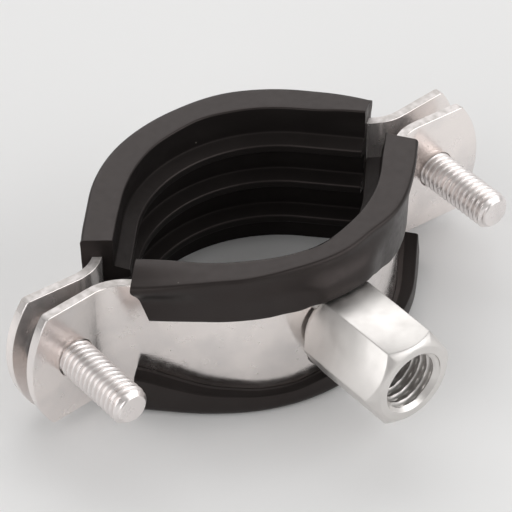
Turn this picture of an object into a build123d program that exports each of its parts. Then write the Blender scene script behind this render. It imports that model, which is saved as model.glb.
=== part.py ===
from build123d import *
import math
import os

# Two-screw pipe clamp with a rubber lining in each half. Millimetres.
# The pipe axis is Z. The clamp parts on the plane y = 0: the front half, with the boss nut, lies on
# the -Y side and the rear half on the +Y side. The ears reach along X.

# ---------------------------------------------------------------- driving dimensions
# steel strip, the same in both halves
strip_width = 20.0
strip_thickness = 1.5
ring_radius = 24.8          # inner face of the strip's arc
ring_offset = 6.9           # how far each arc's centre lies beyond the parting plane
flank_length = 9.0          # straight run from the arc to the bend
bend_radius = 6.2           # inside radius of the bend from the flank into the ear
ear_splay = 3.5             # each ear leans away from the other half, degrees
ear_half_gap = 1.3          # from the parting plane to an ear's inner face at the screw
ear_corner_reach = 4.65     # from the screw axis to the corners of the ear's end
ear_bulge = 3.3             # how far the rounded end stands out past its corners
ear_corner_round = 1.0

# screws
screw_x = 34.0              # screw axes on each side of the pipe axis
screw_diameter = 5.85
screw_length = 19.6         # under the head
tip_chamfer = 0.8
head_diameter = 11.5
head_height = 4.2
head_rim = 2.6              # height of the head's straight side, under its crown
head_clearance = 0.05       # between the head and the highest point of the ear under it
slot_width = 1.3
slot_depth = 1.1
recess_span = 5.6           # cross recess, tip to tip at the head's top
recess_web = 1.6            # width of each wing of the cross
recess_depth = 2.8
recess_taper = 9.0          # of the cross recess's walls, degrees
tapped_clearance = 0.06     # thread crest to the wall of the tapped ear hole, on the radius
ear_hole_clearance = 0.35   # the same in the rear ears

# captive washers
washer_diameter = 10.0
washer_thickness = 0.8
washer_grip = 0.03          # clearance on the radius round the screw
washer_gap = 0.15           # to the lowest point of the rear ear's inner face

# boss nut
nut_across_flats = 13.5
nut_length = 17.4
nut_bore_radius = 4.25      # tapping size of an M10 thread
nut_mouth_radius = 5.0      # countersink at the mouth, cut at 45 degrees
nut_chamfer_length = 1.5    # turned chamfer of the corners, along the axis
nut_chamfer_radius = 6.7    # of the turned outer face
base_chamfer_length = 2.5   # the same at the welded end
base_chamfer_radius = 6.15
weld_count = 3              # at every second corner
weld_radius = 1.3
weld_inset = 1.6            # weld centre inside the nut's corner

# rubber linings
lining_clearance = 0.05     # round the strip
web_thickness = 1.6         # inside the strip
lip_thickness = 1.6         # outside the strip
lip_taper = 0.35            # how much thinner a lip is at its free edge
upper_rim = 3.1             # past the strip's upper edge
lower_rim = 2.25            # past its lower edge
rim_chamfer = 0.45
upper_lip_reach = 4.4       # of the upper lip over the strip
lower_lip_reach = 1.4
rib_count = 3
rib_pitch = 6.9
rib_height = 2.3
rib_base = 2.9
rib_crest = 1.2             # width of a rib's crest
rear_end_reach = 0.7        # past the flank's end, along the strip, to where the lining is cut
rear_end_angle = 38.0       # of that cut to the X axis, degrees
front_left_end_reach = -0.5     # negative: the cut is on the flank
front_left_end_angle = 44.0
front_right_end_reach = -1.3
front_right_end_angle = 60.0
nut_relief = 0.1            # round the nut where the front lining's upper lip lies on it
swell = 1.45                # how far the nut pushes the edge of that lip out
swell_width = 12.0          # of the pushed out stretch
trim_length = 3.0           # slanted cut at the left end of the front lining's upper lip
trim_drop = 1.5             # from the lining's top to where that cut starts

# ---------------------------------------------------------------- derived sizes
half_width = strip_width / 2
outer_radius = ring_radius + strip_thickness
screw_radius = screw_diameter / 2
head_radius = head_diameter / 2
lining_top = half_width + upper_rim
lining_bottom = -half_width - lower_rim
upper_lip_edge = half_width - upper_lip_reach
lower_lip_edge = -half_width + lower_lip_reach
lip_face = strip_thickness + lip_thickness
nut_corner_radius = nut_across_flats / math.sqrt(3)
splay = math.radians(ear_splay)
ear_direction = Vector(math.cos(splay), math.sin(splay))
ear_normal = Vector(-math.sin(splay), math.cos(splay))
ring_centre = Vector(0, -ring_offset)
spare = 2 * (screw_x + strip_width)     # longer than anything that has to be cut through

# The right side of the rear half, inner face of the strip: an arc about ring_centre, the straight
# flank, then the bend about bend_centre, which is tangent to the flank and to the straight ear.
bend_face_radius = bend_radius + strip_thickness
to_bend = Vector(screw_x, ear_half_gap) + ear_normal * bend_face_radius - ring_centre
centre_distance = math.hypot(ring_radius + bend_face_radius, flank_length)
along_ear = to_bend.dot(ear_direction)
slide_along_ear = math.sqrt(along_ear**2 - to_bend.dot(to_bend) + centre_distance**2) - along_ear
bend_centre = ring_centre + to_bend + ear_direction * slide_along_ear
to_bend_angle = math.degrees(math.atan2(bend_centre.Y - ring_centre.Y, bend_centre.X))
arc_end_angle = to_bend_angle + math.degrees(math.asin(flank_length / centre_distance))
bend_sweep = 90 + ear_splay - arc_end_angle
ear_face_low = bend_centre.Y - bend_face_radius   # where the inner face comes nearest to y = 0


# ---------------------------------------------------------------- course of the strip
def polar(centre, radius, degrees):
    angle = math.radians(degrees)
    return Vector(centre.X + radius * math.cos(angle), centre.Y + radius * math.sin(angle))


def bend_point(offset, turn):
    """Point in the right bend, at an offset outward from the inner face, turn degrees past the arc."""
    return polar(bend_centre, bend_face_radius - offset, 180 + arc_end_angle + turn)


def ear_end(offset):
    return bend_point(offset, bend_sweep) + ear_direction * spare


def mirrored(point):
    return Vector(-point.X, point.Y)


def curved_course(offset):
    """Bends, flanks and arc of the rear half from left to right, at an offset outward from the inner face."""
    right = [bend_point(offset, bend_sweep * k / 2) for k in range(3)]
    left = [mirrored(p) for p in reversed(right)]
    crown = polar(ring_centre, ring_radius + offset, 90)
    arc_end = polar(ring_centre, ring_radius + offset, arc_end_angle)
    return [
        ThreePointArc(*left),
        Line(left[2], mirrored(arc_end)),
        ThreePointArc(mirrored(arc_end), crown, arc_end),
        Line(arc_end, right[0]),
        ThreePointArc(*right),
    ]


# ---------------------------------------------------------------- steel half strips
def ear_outline():
    """The strip seen along Y: straight edges and a rounded end at each ear."""
    corner = screw_x + ear_corner_reach
    edges = []
    for side in (-1, 1):
        edges.append(Line((-corner, side * half_width), (corner, side * half_width)))
        edges.append(ThreePointArc((side * corner, -half_width), (side * (corner + ear_bulge), 0),
                                   (side * corner, half_width)))
    outline = make_face(edges)
    return fillet(outline.vertices(), ear_corner_round)


def half_strip(hole_radius):
    """The rear half's strip; turned half a turn about Z it is the front half's."""
    edges = curved_course(0) + curved_course(strip_thickness)
    for flip in (mirrored, Vector):
        near, far = (flip(ear_end(offset)) for offset in (0, strip_thickness))
        edges.append(Line(flip(bend_point(0, bend_sweep)), near))
        edges.append(Line(flip(bend_point(strip_thickness, bend_sweep)), far))
        edges.append(Line(near, far))
    strip = extrude(make_face(edges), amount=half_width, both=True)
    strip &= extrude(Plane.XZ * ear_outline(), amount=spare, both=True)
    for side in (-1, 1):
        strip -= Pos(side * screw_x, 0, 0) * Rot(90, 0, 0) * Cylinder(hole_radius, spare)
    return strip


# ---------------------------------------------------------------- rubber linings
def rib_section(middle):
    tip = -web_thickness - rib_height
    root = -web_thickness / 2
    return make_face(Polyline(
        (root, middle - rib_base / 2),
        (-web_thickness, middle - rib_base / 2),
        (tip, middle - rib_crest / 2),
        (tip, middle + rib_crest / 2),
        (-web_thickness, middle + rib_base / 2),
        (root, middle + rib_base / 2),
        close=True,
    ))


def lining_section():
    """X is the offset outward from the strip's inner face, Y is along the pipe."""
    face = strip_thickness + lining_clearance
    slot = half_width + lining_clearance
    thin_face = lip_face - lip_taper
    body = make_face(Polyline(
        (-web_thickness, lining_bottom),
        (lip_face, lining_bottom),
        (thin_face, lower_lip_edge),
        (face, lower_lip_edge),
        (face, -slot),
        (-lining_clearance, -slot),
        (-lining_clearance, slot),
        (face, slot),
        (face, upper_lip_edge),
        (thin_face, upper_lip_edge),
        (lip_face, lining_top),
        (-web_thickness, lining_top),
        close=True,
    ))
    body = chamfer([v for v in body.vertices() if abs(v.Y) > slot and v.X > 0], rim_chamfer)
    for k in range(rib_count):
        body += rib_section((k - (rib_count - 1) / 2) * rib_pitch)
    return body


def cut_plane(reach, angle):
    """Frame of the cut at the right end: X runs outward in the cut, -Y points past the lining's end."""
    origin = bend_point(0, math.degrees(reach / bend_face_radius))
    along = Vector(math.cos(math.radians(angle)), math.sin(math.radians(angle)))
    return Plane(origin=origin, x_dir=along, z_dir=(0, 0, 1))


def past_end(reach, angle):
    return cut_plane(reach, angle) * Pos(0, -spare / 2, 0) * Box(spare, spare, spare)


def lining(right_cut, left_cut):
    """A lining of the rear half, swept along the strip, with the reach and angle of each end's cut."""
    path = Wire(curved_course(0))
    ahead = path % 0
    outward = Vector(-ahead.Y, ahead.X)
    body = sweep(Plane(origin=path @ 0, x_dir=outward, z_dir=ahead) * lining_section(), path=path)
    body -= past_end(*right_cut)
    body -= mirror(past_end(*left_cut), about=Plane.YZ)
    return body


def lip_swell():
    """Stretch of the front half's upper lip that the nut pushes outward, most at the lip's free edge."""
    lip_radius = ring_radius + lip_face
    half_chord = swell_width / 2
    sagitta = lip_radius - math.sqrt(lip_radius**2 - half_chord**2) + swell
    swell_radius = (half_chord**2 + sagitta**2) / (2 * sagitta)
    height = lining_top - rim_chamfer - upper_lip_edge
    middle = upper_lip_edge + height / 2
    bump = Cone(swell_radius, swell_radius - swell, height)
    bump = Pos(0, ring_offset - lip_radius - swell + swell_radius, middle) * bump
    return bump - Pos(0, ring_offset, 0) * Cylinder(outer_radius + lip_thickness / 2, spare)


def lip_trim(reach, angle):
    """Wedge cut off the end of the right upper lip, from near the rim down to the lip's free edge."""
    cut = cut_plane(reach, angle)
    start = lining_top - trim_drop
    slope = trim_length / (start - upper_lip_edge)
    drop = start - upper_lip_edge + strip_thickness
    wedge = make_face(Polyline((-trim_length, 0), (0, 0), (slope * drop, -drop), (-trim_length, -drop),
                               close=True))
    frame = Plane(origin=cut.origin + cut.x_dir * strip_thickness + Vector(0, 0, start),
                  x_dir=cut.y_dir, z_dir=cut.x_dir)
    return extrude(frame * wedge, amount=spare / 8)


# ---------------------------------------------------------------- boss nut
def hexagon_bar(across_flats, start, length):
    """Bar along -Y from y = start, with flats at its top and bottom."""
    frame = Plane(origin=(0, start, 0), x_dir=(1, 0, 0), z_dir=(0, -1, 0))
    return extrude(frame * RegularPolygon(across_flats / math.sqrt(3), 6), amount=length)


def boss_nut():
    """Hexagon boss on the -Y side of the front strip, its axis along Y."""
    seat = ring_offset - outer_radius
    mouth = seat - nut_length
    body = hexagon_bar(nut_across_flats, seat, nut_length)
    turned = make_face(Polyline(
        (0, seat),
        (base_chamfer_radius, seat),
        (nut_corner_radius, seat - base_chamfer_length),
        (nut_corner_radius, mouth + nut_chamfer_length),
        (nut_chamfer_radius, mouth),
        (0, mouth),
        close=True,
    ))
    body &= revolve(turned, Axis.Y)
    weld_middle = nut_corner_radius - weld_inset
    strip_body = Pos(0, ring_offset, 0) * Cylinder(outer_radius, spare)
    for k in range(weld_count):
        place = Rot(0, 360 * k / weld_count, 0) * Pos(weld_middle, seat, 0) * Rot(90, 0, 0)
        body += place * Cylinder(weld_radius, 2 * weld_radius)
    body -= strip_body
    countersink = nut_mouth_radius - nut_bore_radius
    bore = make_face(Polyline(
        (0, seat + nut_length),
        (nut_bore_radius, seat + nut_length),
        (nut_bore_radius, mouth + countersink),
        (nut_mouth_radius, mouth),
        (0, mouth),
        close=True,
    ))
    return body - revolve(bore, Axis.Y)


# ---------------------------------------------------------------- screws and washers
head_seat = ear_half_gap + strip_thickness / math.cos(splay) + head_radius * math.tan(splay) + head_clearance


def screw():
    """Pan head screw on the axis x = 0, its head on the +Y side."""
    tip = head_seat - screw_length
    top = head_seat + head_height
    crown = head_height - head_rim
    dome_radius = (head_radius**2 + crown**2) / (2 * crown)
    profile = make_face([
        Line((0, tip), (screw_radius - tip_chamfer, tip)),
        Line((screw_radius - tip_chamfer, tip), (screw_radius, tip + tip_chamfer)),
        Line((screw_radius, tip + tip_chamfer), (screw_radius, head_seat)),
        Line((screw_radius, head_seat), (head_radius, head_seat)),
        Line((head_radius, head_seat), (head_radius, top - crown)),
        RadiusArc((head_radius, top - crown), (0, top), -dome_radius),
        Line((0, top), (0, tip)),
    ])
    body = revolve(profile, Axis.Y)
    body -= Pos(0, top, 0) * Box(head_diameter, 2 * slot_depth, slot_width)
    wing = Rectangle(recess_span, recess_web)
    cross = Plane(origin=(0, top, 0), x_dir=(1, 0, 0), z_dir=(0, -1, 0)) * (wing + Rot(0, 0, 90) * wing)
    return body - extrude(cross, amount=recess_depth, taper=recess_taper)


def captive_washer():
    top = ear_face_low - washer_gap
    ring = Circle(washer_diameter / 2) - Circle(screw_radius + washer_grip)
    return extrude(Plane(origin=(0, top, 0), x_dir=(1, 0, 0), z_dir=(0, -1, 0)) * ring,
                   amount=washer_thickness)


# ---------------------------------------------------------------- assembly
half_turn = Rot(0, 0, 180)
rear_cut = (rear_end_reach, rear_end_angle)
front_left_cut = (front_left_end_reach, front_left_end_angle)
front_lining = lining(front_left_cut, (front_right_end_reach, front_right_end_angle))
front_lining = half_turn * (front_lining - lip_trim(*front_left_cut))
front_lining += lip_swell()
front_lining -= hexagon_bar(nut_across_flats + 2 * nut_relief, ring_offset - ring_radius, nut_length)
pieces = {
    "front_band": half_turn * half_strip(screw_radius + tapped_clearance),
    "rear_band": half_strip(screw_radius + ear_hole_clearance),
    "front_lining": front_lining,
    "rear_lining": lining(rear_cut, rear_cut),
    "boss_nut": boss_nut(),
}
for name, side in (("left", -1), ("right", 1)):
    pieces["screw_" + name] = Pos(side * screw_x, 0, 0) * screw()
    pieces["captive_washer_" + name] = Pos(side * screw_x, 0, 0) * captive_washer()

os.makedirs("parts", exist_ok=True)
for name, piece in pieces.items():
    export_step(piece, f"parts/{name}.step")
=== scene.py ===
"""Two-screw pipe clamp with rubber linings and a threaded boss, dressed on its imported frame."""
import math

import bmesh
import bpy
import numpy as np
from mathutils import Matrix, Quaternion, Vector, noise


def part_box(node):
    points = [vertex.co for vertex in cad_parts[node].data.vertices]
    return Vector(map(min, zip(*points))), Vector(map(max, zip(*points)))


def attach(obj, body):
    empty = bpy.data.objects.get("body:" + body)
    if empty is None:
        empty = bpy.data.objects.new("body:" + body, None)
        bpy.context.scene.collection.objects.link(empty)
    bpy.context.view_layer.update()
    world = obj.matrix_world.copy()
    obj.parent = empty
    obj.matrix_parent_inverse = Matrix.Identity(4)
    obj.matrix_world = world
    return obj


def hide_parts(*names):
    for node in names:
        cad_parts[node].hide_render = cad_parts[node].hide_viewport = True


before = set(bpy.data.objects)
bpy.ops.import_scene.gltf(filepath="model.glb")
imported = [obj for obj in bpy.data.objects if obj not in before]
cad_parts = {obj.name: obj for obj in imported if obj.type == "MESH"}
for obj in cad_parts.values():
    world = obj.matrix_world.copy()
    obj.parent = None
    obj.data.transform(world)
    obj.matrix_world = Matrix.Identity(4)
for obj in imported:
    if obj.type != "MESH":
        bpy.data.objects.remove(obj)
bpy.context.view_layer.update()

bl_info = {
    "name": "Lined Pipe Clamp",
    "version": (1, 0, 0),
    "blender": (4, 5, 0),
    "location": "View3D > Sidebar > Pipe Clamp",
    "description": "Steel strips, rubber linings, boss nut and screws of a two-screw pipe clamp",
    "category": "Add Mesh",
}

MM = 0.001


# ------------------------------ sizes and colours
def length(name, description, default):
    return bpy.props.FloatProperty(
        name=name, description=description, default=default, unit="LENGTH", subtype="DISTANCE",
        precision=6)


def angle(name, description, default):
    return bpy.props.FloatProperty(
        name=name, description=description, default=math.radians(default), unit="ROTATION",
        subtype="ANGLE")


def colour(name, description, default):
    return bpy.props.FloatVectorProperty(
        name=name, description=description, default=default, size=3, min=0, max=1, subtype="COLOR")


def factor(name, description, default):
    return bpy.props.FloatProperty(
        name=name, description=description, default=default, min=0, max=1, subtype="FACTOR")


class ClampStripSizes(bpy.types.PropertyGroup):
    width: length("Width", "Width of the steel strip", 20 * MM)
    thickness: length("Thickness", "Thickness of the steel strip", 1.5 * MM)
    ring_radius: length("Ring radius", "Inner face of the strip's arc", 24.8 * MM)
    ring_offset: length("Ring offset", "From the parting plane to the arc's centre", 6.9 * MM)
    flank: length("Flank", "Straight run from the arc to the bend", 9 * MM)
    bend_radius: length("Bend radius", "Outer face radius of the bend into the ear", 7.7 * MM)
    ear_splay: angle("Ear splay", "How far each ear leans away from the other half", 3.5)
    ear_half_gap: length("Ear half gap", "From the parting plane to an ear at the screw", 1.3 * MM)
    edge_round: length("Edge round", "Rounding of the strip's edges", 0.16 * MM)


class ClampLiningSizes(bpy.types.PropertyGroup):
    clearance: length("Clearance", "Between the rubber and the strip", 0.05 * MM)
    web: length("Web", "Thickness of the rubber inside the strip", 1.6 * MM)
    lip: length("Lip", "Thickness of the lips outside the strip", 1.6 * MM)
    lip_taper: length("Lip taper", "How much thinner a lip is at its free edge", 0.35 * MM)
    upper_rim: length("Upper rim", "Rubber past the strip's upper edge", 3.1 * MM)
    lower_rim: length("Lower rim", "Rubber past the strip's lower edge", 2.25 * MM)
    upper_reach: length("Upper lip reach", "Of the upper lip over the strip", 4.4 * MM)
    lower_reach: length("Lower lip reach", "Of the lower lip over the strip", 1.4 * MM)
    corner: length("Rim corner", "Rounding of the upper rim's outer corner", 0.55 * MM)
    lower_corner: length("Lower rim corner", "Rounding of the lower rim's outer corner", 1.1 * MM)
    rib_pitch: length("Rib pitch", "Between neighbouring ribs", 6.9 * MM)
    rib_height: length("Rib height", "Of the ribs inside the web", 2.3 * MM)
    rib_base: length("Rib base", "Width of a rib at its root", 2.9 * MM)
    rib_crest: length("Rib crest", "Width of a rib's crest", 1.2 * MM)
    rear_reach: length("Rear end reach", "Past the flank's end to the cut", 0.7 * MM)
    rear_cut: angle("Rear end cut", "Of the cut to the X axis", 38)
    front_left_reach: length(
        "Front left reach", "Past the flank's end to the left cut", -0.5 * MM)
    front_left_cut: angle("Front left cut", "Of the left cut to the X axis", 44)
    front_right_reach: length(
        "Front right reach", "Past the flank's end to the right cut", -1.3 * MM)
    front_right_cut: angle("Front right cut", "Of the right cut to the X axis", 60)
    trim: length("Corner trim", "Slanted cut at the left end of the front upper lip", 2.3 * MM)
    trim_drop: length("Trim drop", "From the rim's top to where the trim starts", 0.9 * MM)
    low_end: length("Low lip end", "How much farther right the front lower lip goes", 2.6 * MM)
    swell: length("Swell", "How far the boss nut pushes the lip out", 1.7 * MM)


class ClampBossSizes(bpy.types.PropertyGroup):
    across_flats: length("Across flats", "Hexagon across its flats", 13.5 * MM)
    length: length("Length", "From the strip to the outer face", 17.4 * MM)
    minor_radius: length("Minor radius", "Crests of the inside thread", 4.25 * MM)
    major_radius: length("Major radius", "Roots of the inside thread", 4.95 * MM)
    mouth_radius: length("Mouth radius", "Countersink at the mouth", 5 * MM)
    pitch: length("Pitch", "Of the inside thread", 1.5 * MM)
    face_radius: length("Face radius", "Turned outer face", 6.25 * MM)
    chamfer: length("Chamfer", "Length of the turned chamfer at the outer face", 1.5 * MM)
    base_radius: length("Base radius", "Turned face at the strip", 5.6 * MM)
    base_chamfer: length("Base chamfer", "Length of the turned chamfer at the strip", 2.5 * MM)
    corner_round: length("Corner round", "Rounding of the hexagon's corners", 0.3 * MM)
    nugget_radius: length("Weld nugget radius", "Of the weld under every other corner", 1.45 * MM)
    nugget_height: length("Weld nugget height", "Of the weld above the strip", 1.35 * MM)


class ClampScrewSizes(bpy.types.PropertyGroup):
    crest_radius: length("Crest radius", "Crests of the thread", 2.925 * MM)
    root_radius: length("Root radius", "Roots of the thread", 2.36 * MM)
    pitch: length("Pitch", "Of the thread", 1.0 * MM)
    tip_chamfer: length("Tip chamfer", "At the end of the screw", 0.8 * MM)
    head_round: length("Head round", "Rounding of the head's edges", 0.12 * MM)
    washer_round: length("Washer round", "Rounding of the captive washer's edges", 0.12 * MM)


class ClampFinishes(bpy.types.PropertyGroup):
    zinc: colour("Zinc", "Plated strip", (0.95, 0.895, 0.87))
    zinc_shade: colour("Zinc shade", "Duller patches of the plating", (0.78, 0.745, 0.735))
    zinc_edge: colour("Sheared edge", "Cut edges of the strip", (0.58, 0.55, 0.53))
    boss_zinc: colour("Boss zinc", "Plated boss nut", (0.75, 0.725, 0.705))
    boss_shade: colour("Boss shade", "Duller patches of the boss nut", (0.66, 0.64, 0.62))
    screw_zinc: colour("Screw zinc", "Plated screws", (0.88, 0.835, 0.82))
    zinc_roughness: factor("Zinc roughness", "Lowest roughness of the plating", 0.15)
    rubber: colour("Rubber", "Lining", (0.0095, 0.0082, 0.0078))
    rubber_worn: colour("Rubbed rubber", "Greyer patches of the lining", (0.0125, 0.0108, 0.0102))
    rubber_dust: colour("Dust", "Specks on the lining", (0.20, 0.18, 0.16))
    washer: colour("Washer", "Captive washers", (0.06, 0.06, 0.065))
    floor: colour("Floor", "Floor of the stage", (0.86, 0.86, 0.86))


class ClampStage(bpy.types.PropertyGroup):
    eye: bpy.props.FloatVectorProperty(
        name="Eye", description="Where the camera stands", size=3, unit="LENGTH",
        subtype="TRANSLATION", default=(-195.504 * MM, -248.043 * MM, 271.049 * MM))
    tilt: bpy.props.FloatVectorProperty(
        name="Tilt", description="Small turn of the camera away from the clamp's centre", size=3,
        unit="ROTATION", subtype="EULER", default=(0.0026, -0.0024, -0.0051))
    lens: bpy.props.FloatProperty(
        name="Lens", description="Focal length of the camera", default=196.96, unit="CAMERA")
    shift_x: bpy.props.FloatProperty(
        name="Shift X", description="Sideways camera shift", default=-0.0041)
    shift_y: bpy.props.FloatProperty(
        name="Shift Y", description="Upward camera shift", default=0.0030)


# ------------------------------ the strip's course
SEARCHED = (8 * MM, 10 * MM)    # an end cut is sought from before the bend to past its reach
HALVINGS = 40


class StripCourse:
    """Inner face of the rear half's strip along the pipe.

    It is an arc, then a flank, a bend and an ear each side.
    """

    def __init__(self, sizes):
        splay = sizes.ear_splay
        self.ear = np.array((math.cos(splay), math.sin(splay)))
        ear_normal = np.array((-math.sin(splay), math.cos(splay)))
        self.radius = sizes.ring_radius
        self.bend = sizes.bend_radius
        self.centre = np.array((0.0, -sizes.ring_offset))
        at_screw = np.array((screw_axis("screw_right")[0], sizes.ear_half_gap))
        to_bend = at_screw + ear_normal * self.bend - self.centre
        self.flank = sizes.flank
        reach = math.hypot(self.radius + self.bend, self.flank)
        along = to_bend @ self.ear
        slide = math.sqrt(along**2 - to_bend @ to_bend + reach**2) - along
        self.bend_centre = self.centre + to_bend + self.ear * slide
        rise, run = (self.bend_centre - self.centre)[::-1]
        self.arc_turn = math.pi / 2 - math.atan2(rise, run) - math.asin(self.flank / reach)
        self.bend_turn = self.arc_turn + splay
        self.bend_start = self.radius * self.arc_turn + self.flank

    def at(self, run):
        """Points and outward directions at signed runs along the inner face from the crown."""
        run = np.asarray(run, float)
        reach = np.abs(run)
        turn = np.clip(reach / self.radius, 0, self.arc_turn)
        straight = np.clip(reach - self.radius * self.arc_turn, 0, self.flank)
        bent = np.clip((reach - self.bend_start) / self.bend, 0, self.bend_turn)
        past = np.maximum(reach - self.bend_start - self.bend * self.bend_turn, 0)
        swing = turn - bent
        outward = np.stack([np.sin(swing), np.cos(swing)], -1)
        ahead = np.stack([np.cos(swing), -np.sin(swing)], -1)
        on_arc = self.centre + self.radius * outward + straight[..., None] * ahead
        on_bend = self.bend_centre - self.bend * outward + past[..., None] * self.ear
        point = np.where((bent > 0)[..., None], on_bend, on_arc)
        side = np.stack([np.where(run < 0, -1.0, 1.0), np.ones_like(run)], -1)
        return point * side, outward * side

    def cut_run(self, offset, reach, slant):
        """Run at which the right end cut is met at an offset from the inner face, by halving."""
        origin = self.at(self.bend_start + reach)[0]
        across = np.array((-math.sin(slant), math.cos(slant)))
        low, high = self.bend_start - SEARCHED[0], self.bend_start + reach + SEARCHED[1]
        for _ in range(HALVINGS):
            middle = (low + high) / 2
            point, outward = self.at(middle)
            if (point + offset * outward - origin) @ across > 0:
                low = middle
            else:
                high = middle
        return low


def screw_axis(node):
    """X and Z of a screw's axis."""
    low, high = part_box(node)
    return (low.x + high.x) / 2, (low.z + high.z) / 2


# ------------------------------ mesh helpers
MERGED = 1e-7         # metres: nearer points of a new mesh become one
NODE_MERGED = 1e-6    # the same for a frame node's mesh
NODE_FLAT = 0.4       # degrees: faces of a node that differ by less are joined
NODE_EDGE = 28.0      # degrees: sharper edges of a node are rounded


def eased(value):
    """Smooth step from 0 to 1."""
    value = np.clip(value, 0, 1)
    return value * value * (3 - 2 * value)


def along_table(position, table, spread):
    """Value read from a table of (position, value) rows and evened out over a spread."""
    places, values = zip(*table)
    steps = np.linspace(-spread, spread, 9)
    return np.mean([np.interp(position + step, places, values) for step in steps], axis=0)


def rounded_chain(corners, steps, longest):
    """Open chain of points through (x, y, radius) corners, with straight runs divided."""
    chain = []
    for k, (x, y, radius) in enumerate(corners):
        here = np.array((x, y))
        if radius == 0:
            chain.append(here)
            continue
        before = np.array(corners[k - 1][:2]) - here
        after = np.array(corners[k + 1][:2]) - here
        before, after = before / np.linalg.norm(before), after / np.linalg.norm(after)
        half = math.acos(np.clip(before @ after, -1, 1)) / 2
        middle = (before + after) / np.linalg.norm(before + after)
        centre = here + middle * radius / math.sin(half)
        start = here + before * radius / math.tan(half) - centre
        stop = here + after * radius / math.tan(half) - centre
        swept = math.pi - 2 * half
        for blend in np.arange(steps + 1) / steps:
            ray = start * math.sin((1 - blend) * swept) + stop * math.sin(blend * swept)
            chain.append(centre + ray / np.linalg.norm(ray) * radius)
    divided = [chain[0]]
    for a, b in zip(chain, chain[1:]):
        parts = max(1, math.ceil(np.linalg.norm(b - a) / longest))
        divided += [a + (b - a) * part / parts for part in range(1, parts + 1)]
    return np.array(divided)


def grid_faces(rows, columns, wrap=False, first=0):
    """Quads of a grid of points stored row by row."""
    across = columns if wrap else columns - 1
    return [
        (first + r * columns + c, first + r * columns + (c + 1) % columns,
         first + (r + 1) * columns + (c + 1) % columns, first + (r + 1) * columns + c)
        for r in range(rows - 1) for c in range(across)
    ]


def ring_points(radius, along, turn):
    """Points round the Y axis."""
    return np.stack([radius * np.cos(turn), along, radius * np.sin(turn)], -1)


def make_piece(name, points, faces, sharp=35.0, finishes=None):
    """Object from points and faces; finishes gives each face its material's number."""
    mesh = bpy.data.meshes.new(name)
    mesh.from_pydata([tuple(p) for p in points], [], faces)
    if finishes is not None:
        mesh.polygons.foreach_set("material_index", finishes)
    return finish_mesh(name, mesh, sharp)


def finish_mesh(name, mesh, sharp):
    """Object with normals turned outward and smooth shading between edges sharper than given."""
    work = bmesh.new()
    work.from_mesh(mesh)
    bmesh.ops.remove_doubles(work, verts=work.verts, dist=MERGED)
    bmesh.ops.recalc_face_normals(work, faces=work.faces)
    work.to_mesh(mesh)
    work.free()
    mesh.polygons.foreach_set("use_smooth", [True] * len(mesh.polygons))
    mesh.set_sharp_from_angle(angle=math.radians(sharp))
    piece = bpy.data.objects.new(name, mesh)
    bpy.context.scene.collection.objects.link(piece)
    return piece


def rounded_node(node, name, width, beyond=None):
    """Object from a frame node, or from its part beyond a place on Y, with rounded edges."""
    work = bmesh.new()
    work.from_mesh(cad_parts[node].data)
    bmesh.ops.remove_doubles(work, verts=work.verts, dist=NODE_MERGED)
    bmesh.ops.dissolve_limit(
        work, angle_limit=math.radians(NODE_FLAT), verts=work.verts, edges=work.edges)
    if beyond is not None:
        dropped = [v for v in work.verts if v.co.y < beyond - NODE_MERGED]
        bmesh.ops.delete(work, geom=dropped, context="VERTS")
    mesh = bpy.data.meshes.new(name)
    work.to_mesh(mesh)
    work.free()
    piece = finish_mesh(name, mesh, NODE_EDGE)
    bevel = piece.modifiers.new("round_edges", "BEVEL")
    bevel.width, bevel.segments = width, 3
    bevel.limit_method, bevel.angle_limit = "ANGLE", math.radians(NODE_EDGE)
    bevel.harden_normals = True
    bevel.use_clamp_overlap = True
    even = piece.modifiers.new("even_shading", "WEIGHTED_NORMAL")
    even.keep_sharp = True
    graph = bpy.context.evaluated_depsgraph_get()
    rounded = bpy.data.meshes.new_from_object(
        piece.evaluated_get(graph), preserve_all_data_layers=True, depsgraph=graph)
    piece.modifiers.clear()
    piece.data = rounded
    return piece


def place(piece, body, node, slot, *materials):
    """Hands a finished piece to its body, its node and its materials."""
    for material in materials:
        piece.data.materials.append(material)
    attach(piece, body)
    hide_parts(node)


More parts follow.
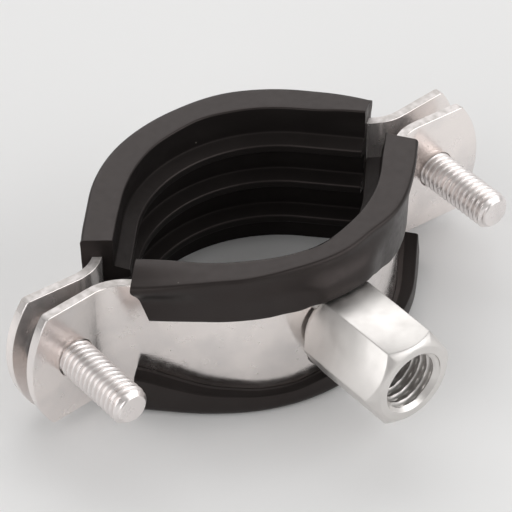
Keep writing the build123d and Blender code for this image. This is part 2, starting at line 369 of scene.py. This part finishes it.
# ------------------------------ materials
class Surface:
    """A new material with a few short ways to add nodes to it."""

    def __init__(self, name):
        self.material = bpy.data.materials.new(name)
        self.material.use_nodes = True
        self.tree = self.material.node_tree
        self.shader = self.tree.nodes["Principled BSDF"]
        self.coordinates = self.node("TexCoord").outputs

    def feed(self, node, inputs):
        """Links outputs to a node's inputs, and sets the inputs given as numbers."""
        for key, given in inputs.items():
            if isinstance(given, bpy.types.NodeSocket):
                self.tree.links.new(given, node.inputs[key])
            else:
                node.inputs[key].default_value = given

    def node(self, kind, inputs=None):
        node = self.tree.nodes.new("ShaderNode" + kind)
        self.feed(node, inputs or {})
        return node

    def finished(self, inputs):
        """The material, with these inputs for its shader."""
        self.feed(self.shader, inputs)
        return self.material

    def noise(self, scale, detail=3.0, stretch=(1, 1, 1)):
        """Cloudy values from 0 to 1; scale is in features a metre."""
        placed = self.node("Mapping", {"Vector": self.coordinates["Object"], "Scale": stretch})
        return self.node("TexNoise", {
            "Vector": placed.outputs["Vector"], "Scale": scale, "Detail": detail}).outputs["Fac"]

    def ranged(self, value, low, high, to_low=0.0, to_high=1.0):
        """The value, with low to high spread over to_low to to_high and kept within them."""
        return self.node("MapRange", {
            "Value": value, "From Min": low, "From Max": high, "To Min": to_low,
            "To Max": to_high}).outputs["Result"]

    def mixed(self, value, first, second):
        """Colour from the first at 0 to the second at 1; each is a colour or an output."""
        node = self.node("Mix")
        node.data_type = "RGBA"
        places = [k for k, socket in enumerate(node.inputs) if socket.type == "RGBA"]
        ends = [end if isinstance(end, bpy.types.NodeSocket) else (*end, 1)
                for end in (first, second)]
        self.feed(node, {"Factor": value, **dict(zip(places, ends))})
        return next(socket for socket in node.outputs if socket.type == "RGBA")

    def worked(self, operation, *values):
        """Result of one Math node."""
        node = self.node("Math", dict(enumerate(values)))
        node.operation = operation
        return node.outputs[0]

    def cut_face(self):
        """1 on faces that look straight up or down, 0 on upright ones."""
        split = self.node("SeparateXYZ", {"Vector": self.coordinates["Normal"]})
        return self.ranged(self.worked("ABSOLUTE", split.outputs["Z"]), 0.75, 0.95)

    def specks(self, scale, bare, strength):
        """The strength in a few small round spots, 0 elsewhere; bare cells have no spot."""
        cells = self.node("TexVoronoi", {"Vector": self.coordinates["Object"], "Scale": scale})
        split = self.node("SeparateColor", {"Color": cells.outputs["Color"]})
        chosen = self.ranged(split.outputs["Red"], bare, bare + 0.005)
        near = self.ranged(cells.outputs["Distance"], 0.03, 0.07, strength, 0)
        return self.worked("MULTIPLY", chosen, near)

    def relief(self, *layers):
        """Normal from (height, strength, depth) bumps, each on top of the one before."""
        under = {}
        for height, strength, depth in layers:
            bump = self.node("Bump", {
                "Height": height, "Strength": strength, "Distance": depth, **under})
            under = {"Normal": bump.outputs["Normal"]}
        return under["Normal"]


def zinc(name, bright, dull, roughness, grain, sheared=None, milky=0.0):
    """Bright zinc plating: cloudy gloss, fine grain and a few dull patches.

    A sheared colour gives faces that look up or down the duller finish of a cut edge. Milky is
    how far the plating is from clear metal.
    """
    surface = Surface(name)
    patches = surface.ranged(surface.noise(scale=140, detail=5), 0.42, 0.72)
    tone = surface.mixed(patches, bright, dull)
    haze = surface.noise(scale=520, detail=4)
    haze = surface.ranged(haze, 0.3, 0.7, roughness, roughness + 0.14)
    if sheared is not None:
        upward = surface.cut_face()
        streaks = surface.noise(scale=900, detail=2, stretch=(1, 1, 0.15))
        streaks = surface.ranged(streaks, 0.35, 0.65)
        tone = surface.mixed(upward, tone, surface.mixed(streaks, sheared, dull))
        haze = surface.mixed(upward, haze, (0.62, 0.62, 0.62))
    waves = (surface.noise(scale=260, detail=1), 0.05, 0.1 * MM)
    grains = (surface.noise(scale=2600, detail=2), grain, 0.03 * MM)
    return surface.finished({
        "Base Color": tone, "Roughness": haze, "Metallic": 1 - milky,
        "Normal": surface.relief(waves, grains)})


def rubber(name, finishes, shine, roughness):
    """Moulded black rubber: satin skin, greyer worn patches and a few specks of dust."""
    surface = Surface(name)
    worn_and_highlit = surface.ranged(surface.noise(scale=230, detail=5), 0.45, 0.75)
    tone = surface.mixed(worn_and_highlit, finishes.rubber, finishes.rubber_worn)
    dusty = surface.specks(scale=420, bare=0.93, strength=0.7)
    satin = surface.noise(scale=900, detail=4)
    waves = (surface.noise(scale=330, detail=3), 0.05, 0.1 * MM)
    grains = (surface.noise(scale=4200, detail=2), 0.16, 0.04 * MM)
    return surface.finished({
        "Base Color": surface.mixed(dusty, tone, finishes.rubber_dust),
        "Roughness": surface.ranged(satin, 0.3, 0.7, roughness, roughness + 0.1),
        "Specular IOR Level": shine, "Specular Tint": (1.0, 0.85, 0.82, 1),
        "Normal": surface.relief(waves, grains)})


def plastic(name, tone):
    """Matt moulded plastic."""
    surface = Surface(name)
    shade = tuple(0.7 * c for c in tone)
    return surface.finished({
        "Base Color": surface.mixed(surface.noise(scale=600), shade, tone),
        "Roughness": surface.ranged(surface.noise(scale=1500), 0.3, 0.7, 0.4, 0.55),
        "Normal": surface.relief((surface.noise(scale=2500), 0.15, 0.05 * MM))})


def floor_paint(name, tone):
    """Matt paint, almost even."""
    surface = Surface(name)
    shade = tuple(0.97 * c for c in tone)
    return surface.finished({
        "Base Color": surface.mixed(surface.noise(scale=3), shade, tone), "Roughness": 0.9})


# ------------------------------ steel strips
class CLAMP_OT_strips(bpy.types.Operator):
    """Rounds the edges of the two steel half strips and plates them"""
    bl_idname = "clamp.strips"
    bl_label = "Steel strips"

    def execute(self, context):
        sizes, finishes = context.scene.clamp_strip, context.scene.clamp_finishes
        for side, milky in (("front", 0.01), ("rear", 0.2)):
            node = side + "_band"
            plating = zinc(
                "zinc_" + node, finishes.zinc, finishes.zinc_shade, finishes.zinc_roughness,
                grain=0.3, sheared=finishes.zinc_edge, milky=milky)
            piece = rounded_node(node, node + "_steel", sizes.edge_round)
            place(piece, side + "_half", node, "zinc_band", plating)
        return {"FINISHED"}


# ------------------------------ rubber linings
# The linings' forms are tables of (place, value) rows in millimetres. A place is measured along
# the strip from its crown, positive towards +X. The first tables say how far a rim or lip is
# pushed out past its plain edge, or, below 0, pulled in.
FRONT_RIM_OUT = [
    (-28, 1.5), (-24, 1.1), (-20, 0.45), (-17, -0.2), (-14, -0.35), (-11, -0.65), (-7, -0.95),
    (-3, -0.75), (1, -0.5), (6.5, -0.75), (9, -0.2), (12, 0.2), (17, 0.3), (19, 0.4), (22, 0.7),
    (27, 0.8)]
FRONT_RIM_IN = [
    (-29, -0.6), (-25, -0.2), (-20, -0.1), (-13, 0.15), (-9, -0.1), (-5.5, -0.35), (-1, -0.7),
    (5, -0.2), (12, -0.1), (18, -0.15), (24, -0.3), (27, -0.5)]
FRONT_LOW_RIM_OUT = [
    (-27, 0.7), (-21, 0.6), (-17, 0.3), (11, 0.3), (17, 0.9), (20, 1.3), (25, 1.6), (32, 1.6)]
FRONT_LOW_LIP_OUT = [
    (-27, 1.6), (-23.5, 1.4), (-19, 1.0), (-14, 0.7), (-12, 0.55), (-6.5, 0.4), (6, 0.4),
    (14, 0.9), (20, 1.5), (32, 1.7)]
REAR_RIM_OUT = [
    (-31, -0.1), (-28, 0.1), (-10, 0.1), (-4, 0.0), (2, 0.0), (6, 0.25), (9, 0.4), (13, 0.25),
    (20, 0.0), (24.5, -0.05), (28, -0.5), (31, -1.2)]
REAR_RIM_IN = [
    (-30, 0.0), (-25, 0.0), (-20, 0.2), (-16, 0.3), (-11, 0.2), (-6.5, 0.0), (-1, 0.0),
    (4, -0.35), (8, -0.05), (13, 0.1), (19, 0.3), (23, 0.2), (26, -0.3), (30, -0.4)]
# How far the front lining's upper rim sinks.
FRONT_RIM_DROOP = [(-28, 1.0), (-23.5, 0.5), (-20, 0.1), (-17, 0.0)]
# Heights of the front lining's free lip edges.
FRONT_LIP_EDGE = [
    (-27, 4.6), (-23.5, 4.9), (-19, 5.4), (-14, 5.5), (-10, 5.5), (-7.6, 5.7), (-6.4, 6.0),
    (-5.2, 6.75), (-4.7, 6.95), (4.5, 6.95), (5.4, 6.2), (7.5, 4.8), (10.5, 3.6), (14.5, 3.0),
    (27, 3.0)]
FRONT_LOW_EDGE = [
    (-28, -5.2), (-26.5, -5.5), (-23.5, -6.5), (-19, -7.7), (-14, -8.4), (-12, -8.9),
    (-6.5, -9.3), (-3, -8.7), (20, -8.6), (26, -7.8), (31, -7.0)]
SPREAD = 1.5                 # millimetres over which a table is evened out
LIP_EDGE_SPREAD = 0.5        # the same for the upper lip's edge, which turns sharply at the nut

SECTIONS = 170               # cross sections along a lining
SKIN_STEP = 0.5 * MM         # longest step round a cross section
EDGE_ROUND = 0.32 * MM       # rounding of the ribs' crests and the lips' free edges
RIB_ROOT_ROUND = 0.35 * MM    # rounding where a rib meets the web
WEB_ROUND = 0.3 * MM         # rounding of the rims' inner corners
RIM_FADE = 3.2 * MM          # height over which a rim takes up its shape
LIP_FADE = 3 * MM            # distance outward over which it does so
SWELL_FLAT = 3 * MM          # the nut's full push, either side of the crown
SWELL_FADE = 6.5 * MM        # from there to where it ends


def lining_chains(strip, lining):
    """The section's exposed skin and its slot side, point against point, as (offset, height)."""
    half = strip.width / 2
    top, bottom = half + lining.upper_rim, -half - lining.lower_rim
    slot = half + lining.clearance
    back, seat = -lining.clearance, strip.thickness + lining.clearance
    face = strip.thickness + lining.lip
    thin, free = face - lining.lip_taper, seat + EDGE_ROUND
    upper_edge, lower_edge = half - lining.upper_reach, -half + lining.lower_reach
    web, crest = -lining.web, -lining.web - lining.rib_height
    ribs = []
    for middle in (lining.rib_pitch, 0, -lining.rib_pitch):
        ribs += [
            (web, middle + lining.rib_base / 2, RIB_ROOT_ROUND),
            (crest, middle + lining.rib_crest / 2, EDGE_ROUND),
            (crest, middle - lining.rib_crest / 2, EDGE_ROUND),
            (web, middle - lining.rib_base / 2, RIB_ROOT_ROUND)]
    upper_lip = (face - 0.3 * lining.lip_taper, top - 3 * lining.corner, 0)
    upper_web = (web, top - 1.5 * MM, 0)
    lower_web = (web, bottom + 1 * MM, 0)
    lower_lip = (face, bottom + 1.3 * lining.lower_corner, 0)
    parts = [    # corners of the skin, steps in each rounding, start and stop of the slot side
        ([(free, upper_edge, 0), (thin, upper_edge, EDGE_ROUND), upper_lip],
         4, (seat, upper_edge + 0.1 * MM), (seat, slot)),
        ([upper_lip, (face, top, lining.corner), (web, top, WEB_ROUND), upper_web],
         5, (seat, slot), (back, slot)),
        ([upper_web, *ribs, lower_web],
         4, (back, slot), (back, -slot)),
        ([lower_web, (web, bottom, WEB_ROUND), (face, bottom, lining.lower_corner), lower_lip],
         6, (back, -slot), (seat, -slot)),
        ([lower_lip, (thin, lower_edge, EDGE_ROUND), (free, lower_edge, 0)],
         4, (seat, -slot), (seat, lower_edge - 0.1 * MM)),
    ]
    skin, inner = [], []
    for corners, steps, start, stop in parts:
        chain = rounded_chain(corners, steps, SKIN_STEP)
        strides = np.linalg.norm(np.diff(chain, axis=0), axis=1)
        share = np.concatenate([[0], np.cumsum(strides)]) / np.sum(strides)
        skin.append(chain)
        inner.append(np.array(start) + (np.array(stop) - start) * share[:, None])
    return np.concatenate(skin), np.concatenate(inner)


def skin_finishes(skin, strip, lining):
    """Material numbers along the skin.

    It is 1 inside the ring and at the lower lip's free edge, and 0 on rims, lips and the ribs'
    upper corners. Material 1 is a duller copy of the same rubber, painted shade on those faces.
    """
    free_edge = -strip.width / 2 + lining.lower_reach
    crest = -lining.web - lining.rib_height
    finishes = []
    for offset, height in (skin[:-1] + skin[1:]) / 2:
        rib = round(height / lining.rib_pitch) * lining.rib_pitch
        above = height - rib - lining.rib_crest / 2
        # the ribs' crest corners are left out of the painted shade and keep the shinier rubber,
        # for bright crest lines
        worn_and_highlit = offset < crest + 0.3 * MM and above > -0.3 * MM
        # faces inside the ring get the duller copy of the rubber, painted shade
        inside = offset < -lining.web + 0.01 * MM
        # the lower lip's free edge gets the duller copy too, painted shade
        on_edge = offset > strip.thickness and abs(height - free_edge) < 0.2 * MM
        finishes.append(int(inside and not worn_and_highlit or on_edge))
    return finishes


def lining_runs(course, offset, height, strip, lining, front):
    """Runs of every section's points; rows go from one end cut to the other.

    The front half is the rear half turned round, so its left end is cut as a right one.
    """
    right = left = (lining.rear_reach, lining.rear_cut)
    if front:
        right = (lining.front_left_reach, lining.front_left_cut)
        left = (lining.front_right_reach, lining.front_right_cut)
    stop = np.array([course.cut_run(o, *right) for o in offset])
    start = -np.array([course.cut_run(o, *left) for o in offset])
    if front:
        half = strip.width / 2
        edge = half - lining.upper_reach
        trim_top = half + lining.upper_rim - lining.trim_drop
        trimmed = np.maximum(trim_top - height, 0) * lining.trim / (trim_top - edge)
        stop = stop - np.where((offset > strip.thickness) & (height > 0), trimmed, 0)
        farther = lining.low_end * eased((edge - height) / (half - edge))
        start = start - np.where(height < edge, farther, 0)
    return start + (stop - start) * np.linspace(0, 1, SECTIONS)[:, None]


def shape_front(offset, height, on_lip, outer_share, place_mm, strip, lining, radius):
    """The front lining's lips flared, lifted over the boss nut and let down at the left end."""
    half = strip.width / 2
    upper, lower = on_lip & (height > 0), on_lip & (height < 0)
    edge, top = half - lining.upper_reach, half + 0.4 * MM
    low_edge, low_base = -half + lining.lower_reach, -half - 1 * MM
    rim_top = half + lining.upper_rim
    hang = np.clip((rim_top - height) / (rim_top - edge), 0, 1)
    low = np.clip((low_edge - height) / (lining.lower_reach + lining.lower_rim), 0, 1)

    flare = along_table(place_mm, FRONT_LOW_LIP_OUT, SPREAD) * (1 - low)
    flare += along_table(place_mm, FRONT_LOW_RIM_OUT, SPREAD) * low
    from_seat = np.clip((offset - strip.thickness - lining.clearance) / (1 * MM), 0, 1)
    aside = np.abs(place_mm) * MM * (1 + strip.thickness / radius)
    faded = np.clip((aside - SWELL_FLAT) / SWELL_FADE, 0, 1)
    over_nut = 0.5 + 0.5 * np.cos(np.pi * faded)
    pushed = lining.swell * over_nut * eased(hang * 1.05)
    offset = offset + np.where(lower, flare * MM * from_seat, np.where(upper, pushed, 0))

    lip_edge = along_table(place_mm, FRONT_LIP_EDGE, LIP_EDGE_SPREAD) * MM
    lifted = lip_edge + (height - edge) * (top - lip_edge) / (top - edge)
    low_lip_edge = along_table(place_mm, FRONT_LOW_EDGE, SPREAD) * MM
    raised = low_base + (height - low_base) * (low_lip_edge - low_base) / (low_edge - low_base)
    droop = along_table(place_mm, FRONT_RIM_DROOP, SPREAD) * MM * (1 - hang) * outer_share
    height = np.where(upper & (height < top), lifted, height)
    height = np.where(lower & (height > low_base), raised, height)
    return offset, height - np.where(on_lip | (height > half + 1 * MM), droop, 0)


def lining_mesh(name, strip, lining, front):
    """One lining: its section swept along the strip, with its lips and rims shaped."""
    course = StripCourse(strip)
    skin, inner = lining_chains(strip, lining)
    loop = np.concatenate([skin, inner[::-1]])
    run = lining_runs(course, loop[:, 0], loop[:, 1], strip, lining, front)
    place_mm = (-run if front else run) / MM
    offset, height = (np.broadcast_to(column, run.shape) for column in loop.T)
    on_lip = offset > strip.thickness
    top_share = eased((height - (strip.width / 2 - 1 * MM)) / RIM_FADE)
    outer_share = eased(offset / LIP_FADE)
    rim_out = along_table(place_mm, FRONT_RIM_OUT if front else REAR_RIM_OUT, SPREAD) * MM
    rim_in = along_table(place_mm, FRONT_RIM_IN if front else REAR_RIM_IN, SPREAD) * MM
    offset = offset + np.where(offset > 0.5 * MM, rim_out * top_share * outer_share, 0)
    offset = offset - np.where(offset < -1 * MM, rim_in * top_share, 0)
    if front:
        offset, height = shape_front(
            offset, height, on_lip, outer_share, place_mm, strip, lining, course.radius)
    point, outward = course.at(run)
    flat = point + outward * offset[..., None]
    if front:
        flat = -flat
    points = np.concatenate([flat, height[..., None]], -1).reshape(-1, 3)

    count, columns = len(skin), len(loop)
    faces = grid_faces(SECTIONS, columns, wrap=True)
    around = skin_finishes(skin, strip, lining) + [0] * (columns - count + 1)
    finishes = around * (SECTIONS - 1)
    for base in (0, (SECTIONS - 1) * columns):
        last = base + columns - 1
        faces += [(base + k, base + k + 1, last - 1 - k, last - k) for k in range(count - 1)]
        finishes += [0] * (count - 1)
    return make_piece(name, points, faces, sharp=42, finishes=finishes)


class CLAMP_OT_linings(bpy.types.Operator):
    """Sweeps the two rubber linings along their strips, with ribs inside and lips outside"""
    bl_idname = "clamp.linings"
    bl_label = "Rubber linings"

    def execute(self, context):
        scene = context.scene
        skin = rubber("lining_rubber", scene.clamp_finishes, shine=0.42, roughness=0.34)
        # a duller copy of the same rubber: painted shade inside the ring and on the lower lip's
        # free edge
        inside = rubber("lining_painted_shade", scene.clamp_finishes, shine=0.2, roughness=0.5)
        for side in ("front", "rear"):
            node = side + "_lining"
            piece = lining_mesh(
                node + "_rubber", scene.clamp_strip, scene.clamp_lining, side == "front")
            place(piece, side + "_half", node, "rubber", skin, inside)
        return {"FINISHED"}


# ------------------------------ threads
TURN_ROWS = 14      # rows of points in one turn of a thread


def thread_grid(start, stop, pitch, around, radius_at):
    """Points of a threaded wall along +Y, and their row count."""
    rows = round((stop - start) / pitch * TURN_ROWS) + 1
    along = np.linspace(start, stop, rows)[:, None]
    turn = np.linspace(0, 2 * math.pi, around, endpoint=False)[None, :]
    phase = np.mod(along / pitch - turn / (2 * math.pi), 1.0)
    radius = radius_at(along, phase)
    points = ring_points(radius, np.broadcast_to(along, radius.shape), turn)
    return points.reshape(-1, 3), rows


def thread_height(phase, crest, root):
    """0 at the root and 1 at the crest of a 60 degree thread.

    Phase 0 is the middle of the crest; crest and root are half their widths in pitches.
    """
    fall = (np.minimum(phase, 1 - phase) - crest) / (0.5 - crest - root)
    return 1 - eased(fall) * 0.35 - 0.65 * np.clip(fall, 0, 1)


# ------------------------------ boss nut
BOSS_AROUND = 120            # points round the inside thread
BOSS_THREAD = (0.13, 0.07)   # half widths of its crests and roots, in pitches
BOSS_SOFT = 0.12 * MM        # rounding of the nut's turned edges
CORNER_STEPS = 7             # points round a corner of the hexagon
FLAT_STEPS = 12              # points on a flat between two corners
NUGGETS = 3
NUGGET_INSET = 1.6 * MM      # from the hexagon's corner in to the middle of a nugget
NUGGET_ROWS, NUGGET_AROUND = 7, 28


def hexagon_rays(across_flats, corner_round):
    """Angles and radii round a hexagon with rounded corners, a corner on +X."""
    corner = across_flats / math.sqrt(3)
    centre = corner - corner_round / math.sin(math.pi / 3)
    reach = math.atan2(corner_round / 2, centre + corner_round * math.cos(math.pi / 6))
    rays = []
    for k in range(6):
        for away in np.linspace(-1, 1, CORNER_STEPS) * reach:
            bulge = math.sqrt(corner_round**2 - (centre * math.sin(away)) ** 2)
            rays.append((k * math.pi / 3 + away, centre * math.cos(away) + bulge))
        for away in np.linspace(reach, math.pi / 3 - reach, FLAT_STEPS + 2)[1:-1]:
            flat = across_flats / 2 / math.cos(away - math.pi / 6)
            rays.append((k * math.pi / 3 + away, flat))
    return np.array(rays)


def boss_rings(boss, hexagon, mouth, seat):
    """Radii and places on Y of the nut's outside, ring by ring from its mouth to its seat."""
    corner = boss.across_flats / math.sqrt(3)
    cone = boss.chamfer * (hexagon - boss.face_radius) / (corner - boss.face_radius)
    base_cone = boss.base_chamfer * (hexagon - boss.base_radius) / (corner - boss.base_radius)
    dulled = BOSS_SOFT * 0.8 * (hexagon - boss.face_radius > BOSS_SOFT)
    rings = [
        (boss.mouth_radius, mouth),
        (boss.mouth_radius + BOSS_SOFT, mouth),
        (boss.face_radius - 2 * BOSS_SOFT, mouth),
        (boss.face_radius - BOSS_SOFT / 3, mouth + BOSS_SOFT / 3),
        (hexagon - dulled, mouth + cone - BOSS_SOFT),
        (hexagon, mouth + cone + BOSS_SOFT * 0.6),
        (hexagon, seat - base_cone - BOSS_SOFT),
        (hexagon - BOSS_SOFT * 0.5, seat - base_cone + BOSS_SOFT * 0.5),
        (boss.base_radius, seat),
        (boss.minor_radius, seat),
    ]
    return [np.broadcast_arrays(radius, along, hexagon)[:2] for radius, along in rings]


def weld_nugget(where, radius, height, number):
    """Points of an uneven low dome that stands out along -Y."""
    points = []
    for tilt in np.linspace(0, math.pi / 2, NUGGET_ROWS):
        for spin in np.linspace(0, 2 * math.pi, NUGGET_AROUND, endpoint=False):
            around = Vector((math.cos(spin), math.sin(spin), number * 3.1))
            uneven = 1 + 0.12 * noise.noise(around * 1.3)
            reach = radius * math.cos(tilt) * uneven + 0.02 * MM
            points.append(where + Vector((
                reach * math.cos(spin), -height * math.sin(tilt), reach * math.sin(spin))))
    return points


def boss_mesh(name, boss, strip):
    """The hexagon with its turned faces, its thread and its weld nuggets."""
    seat = strip.ring_offset - strip.ring_radius - strip.thickness
    mouth = seat - boss.length
    turn, hexagon = hexagon_rays(boss.across_flats, boss.corner_round).T
    points = []
    for radius, along in boss_rings(boss, hexagon, mouth, seat):
        points += list(ring_points(radius, along, turn))
    faces = grid_faces(len(points) // len(turn), len(turn), wrap=True)

    def wall(along, phase):
        depth = boss.major_radius - boss.minor_radius
        cut = boss.minor_radius + depth * (1 - thread_height(phase, *BOSS_THREAD))
        return np.maximum(cut, boss.mouth_radius - (along - mouth))

    thread, rows = thread_grid(mouth, seat, boss.pitch, BOSS_AROUND, wall)
    faces += grid_faces(rows, BOSS_AROUND, wrap=True, first=len(points))
    points += list(thread)

    middle = boss.across_flats / math.sqrt(3) - NUGGET_INSET
    for k in range(NUGGETS):
        away = -2 * math.pi * k / NUGGETS
        where = Vector((middle * math.cos(away), 0, middle * math.sin(away)))
        outer = strip.ring_radius + strip.thickness
        where.y = strip.ring_offset - math.sqrt(outer**2 - where.x**2)
        faces += grid_faces(NUGGET_ROWS, NUGGET_AROUND, wrap=True, first=len(points))
        points += weld_nugget(where, boss.nugget_radius, boss.nugget_height, k)
    return make_piece(name, points, faces, sharp=32)


class CLAMP_OT_boss(bpy.types.Operator):
    """Turns the hexagon boss nut with its chamfers, countersink, inside thread and weld nuggets"""
    bl_idname = "clamp.boss"
    bl_label = "Boss nut"

    def execute(self, context):
        scene = context.scene
        finishes = scene.clamp_finishes
        piece = boss_mesh("boss_nut_steel", scene.clamp_boss, scene.clamp_strip)
        plating = zinc(
            "zinc_boss", finishes.boss_zinc, finishes.boss_shade, finishes.zinc_roughness + 0.17,
            grain=0.2)
        place(piece, "front_half", "boss_nut", "zinc_boss", plating)
        return {"FINISHED"}


# ------------------------------ screws
SCREW_AROUND = 72                 # points round a screw's thread
SCREW_THREAD = (0.07, 0.07)       # half widths of its crests and roots, in pitches
TIP_RINGS = (0.97, 0.55)          # rings on the flat tip, as shares of the first ring
RUN_OUT = (0.8 * MM, 0.2 * MM)    # the thread fades between these distances from the head


def head_start(node, wider_than):
    """Place on Y where a screw's head begins: the lowest point that is wider than its shank."""
    x, z = screw_axis(node)
    corners = [v.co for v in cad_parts[node].data.vertices]
    head = [p.y for p in corners if math.hypot(p.x - x, p.z - z) > wider_than]
    if not head:
        raise RuntimeError(f"{node} has no head")
    return min(head)


def shank_mesh(name, sizes, node, start, stop):
    """Threaded shank on a screw's axis, with a chamfered and closed tip."""
    def wall(along, phase):
        depth = sizes.crest_radius - sizes.root_radius
        cut = sizes.root_radius + depth * thread_height(phase, *SCREW_THREAD)
        tip = sizes.crest_radius - sizes.tip_chamfer + (along - start)
        full = eased((along - (stop - RUN_OUT[0])) / (RUN_OUT[0] - RUN_OUT[1]))
        return np.minimum(cut + (sizes.crest_radius - cut) * full, tip)

    thread, rows = thread_grid(start, stop, sizes.pitch, SCREW_AROUND, wall)
    faces = grid_faces(rows, SCREW_AROUND, wrap=True)
    tip = len(thread)
    first = thread[:SCREW_AROUND]
    rings = [first * np.array((share, 1, share)) for share in TIP_RINGS]
    faces += [(k, (k + 1) % SCREW_AROUND, tip + (k + 1) % SCREW_AROUND, tip + k)
              for k in range(SCREW_AROUND)]
    faces += grid_faces(len(rings), SCREW_AROUND, wrap=True, first=tip)
    last = tip + (len(rings) - 1) * SCREW_AROUND
    faces.append(tuple(range(last, last + SCREW_AROUND)))
    x, z = screw_axis(node)
    points = np.concatenate([thread, *rings]) + np.array((x, 0, z))
    return make_piece(name, points, faces, sharp=50)


class CLAMP_OT_screws(bpy.types.Operator):
    """Threads the two clamping screws under their slotted heads"""
    bl_idname = "clamp.screws"
    bl_label = "Screws"

    def execute(self, context):
        sizes, finishes = context.scene.clamp_screw, context.scene.clamp_finishes
        plating = zinc(
            "zinc_screws", finishes.screw_zinc, finishes.zinc_shade, finishes.zinc_roughness + 0.1,
            grain=0.25)
        for side in ("left", "right"):
            node = "screw_" + side
            under = head_start(node, sizes.crest_radius * 1.5)
            piece = rounded_node(node, node + "_steel", sizes.head_round, beyond=under)
            shank = shank_mesh(node + "_shank", sizes, node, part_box(node)[0].y, under)
            both = [piece, shank]
            with bpy.context.temp_override(
                    active_object=piece, object=piece, selected_objects=both,
                    selected_editable_objects=both):
                bpy.ops.object.join()
            place(piece, side + "_screw", node, "zinc_screw", plating)
        return {"FINISHED"}


# ------------------------------ captive washers
class CLAMP_OT_washers(bpy.types.Operator):
    """Rounds the two captive washers that hold the screws in the rear ears"""
    bl_idname = "clamp.washers"
    bl_label = "Captive washers"

    def execute(self, context):
        tone = plastic("washer_plastic", context.scene.clamp_finishes.washer)
        for side in ("left", "right"):
            node = "captive_washer_" + side
            piece = rounded_node(node, node + "_ring", context.scene.clamp_screw.washer_round)
            place(piece, side + "_screw", node, "washer_plastic", tone)
        return {"FINISHED"}


# ------------------------------ stage
FLOOR_REACH = 3.0    # metres from the clamp to the floor's edges
SKY = (1.0, 0.985, 0.97, 1)
SKY_STRENGTH = 0.4
LAMPS = (            # name, position, width and height in metres, and how bright the panel looks
    ("back_box", (0.42, 0.53, 0.62), (1.1, 0.9), 1.3),
    ("left_box", (-0.8, -0.1, 0.45), (1.0, 0.8), 1.4),
    ("front_box", (0.5, -0.7, 0.45), (1.0, 0.8), 1.7),
)


def soft_lamp(name, position, size, glow):
    """Panel lamp facing the clamp; a glow of 1 looks white."""
    lamp = bpy.data.lights.new(name, "AREA")
    lamp.shape, lamp.size, lamp.size_y = "RECTANGLE", size[0], size[1]
    lamp.energy = glow * math.pi * size[0] * size[1]
    holder = bpy.data.objects.new(name, lamp)
    holder.location = position
    holder.rotation_euler = (-Vector(position)).to_track_quat("-Z", "Y").to_euler()
    bpy.context.scene.collection.objects.link(holder)


def add_camera(stage):
    """Camera that looks at the clamp's centre, turned a little by the stage's tilt."""
    eye = Vector(stage.eye)
    ahead = -eye.normalized()
    right = ahead.cross(Vector((0, 0, 1))).normalized()
    up = right.cross(ahead)
    turned = Vector(stage.tilt)
    tilt = Quaternion(turned.normalized(), turned.length).to_matrix()
    seen = tilt @ Matrix((right, -up, ahead))
    facing = Matrix((seen[0], -seen[1], -seen[2])).transposed().to_4x4()
    camera = bpy.data.objects.new("camera", bpy.data.cameras.new("camera"))
    camera.matrix_world = Matrix.Translation(eye) @ facing
    camera.data.lens = stage.lens
    camera.data.shift_x, camera.data.shift_y = stage.shift_x, stage.shift_y
    camera.data.clip_start = 10 * MM
    bpy.context.scene.collection.objects.link(camera)
    bpy.context.scene.camera = camera


def add_floor(tone):
    """Plain matt floor under the clamp's lowest point."""
    level = min(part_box(node)[0].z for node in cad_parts)
    corners = [(x * FLOOR_REACH, y * FLOOR_REACH, level)
               for x, y in ((-1, -1), (1, -1), (1, 1), (-1, 1))]
    floor = make_piece("floor", corners, [(0, 1, 2, 3)])
    floor.data.materials.append(floor_paint("floor_paint", tone))


class CLAMP_OT_stage(bpy.types.Operator):
    """Sets out the camera, a plain pale floor and soft studio lamps"""
    bl_idname = "clamp.stage"
    bl_label = "Stage"

    def execute(self, context):
        scene = context.scene
        add_camera(scene.clamp_stage)
        scene.view_settings.view_transform = "Standard"
        add_floor(scene.clamp_finishes.floor)
        world = scene.world or bpy.data.worlds.new("studio")
        scene.world = world
        world.use_nodes = True
        sky = world.node_tree.nodes["Background"]
        sky.inputs["Color"].default_value = SKY
        sky.inputs["Strength"].default_value = SKY_STRENGTH
        for lamp in LAMPS:
            soft_lamp(*lamp)
        return {"FINISHED"}


# ------------------------------ panel and registration
class CLAMP_PT_sidebar(bpy.types.Panel):
    """The clamp's pieces and its stage"""
    bl_idname = "CLAMP_PT_sidebar"
    bl_label = "Pipe Clamp"
    bl_space_type = "VIEW_3D"
    bl_region_type = "UI"
    bl_category = "Pipe Clamp"

    def draw(self, context):
        for step in STEPS:
            self.layout.operator(step.bl_idname)
        for name in GROUPS:
            group = getattr(context.scene, name)
            box = self.layout.box()
            for key in group.bl_rna.properties.keys():
                if key not in ("rna_type", "name"):
                    box.prop(group, key)


STEPS = (CLAMP_OT_strips, CLAMP_OT_linings, CLAMP_OT_boss, CLAMP_OT_screws, CLAMP_OT_washers,
         CLAMP_OT_stage)
GROUPS = {
    "clamp_strip": ClampStripSizes,
    "clamp_lining": ClampLiningSizes,
    "clamp_boss": ClampBossSizes,
    "clamp_screw": ClampScrewSizes,
    "clamp_finishes": ClampFinishes,
    "clamp_stage": ClampStage,
}


def register():
    for kind in (*GROUPS.values(), *STEPS, CLAMP_PT_sidebar):
        bpy.utils.register_class(kind)
    for name, group in GROUPS.items():
        setattr(bpy.types.Scene, name, bpy.props.PointerProperty(type=group))


def unregister():
    for name in GROUPS:
        delattr(bpy.types.Scene, name)
    for kind in (CLAMP_PT_sidebar, *reversed(STEPS), *GROUPS.values()):
        bpy.utils.unregister_class(kind)


def main():
    register()
    bpy.ops.clamp.strips()
    bpy.ops.clamp.linings()
    bpy.ops.clamp.boss()
    bpy.ops.clamp.screws()
    bpy.ops.clamp.washers()
    bpy.ops.clamp.stage()


if __name__ == "__main__":
    main()
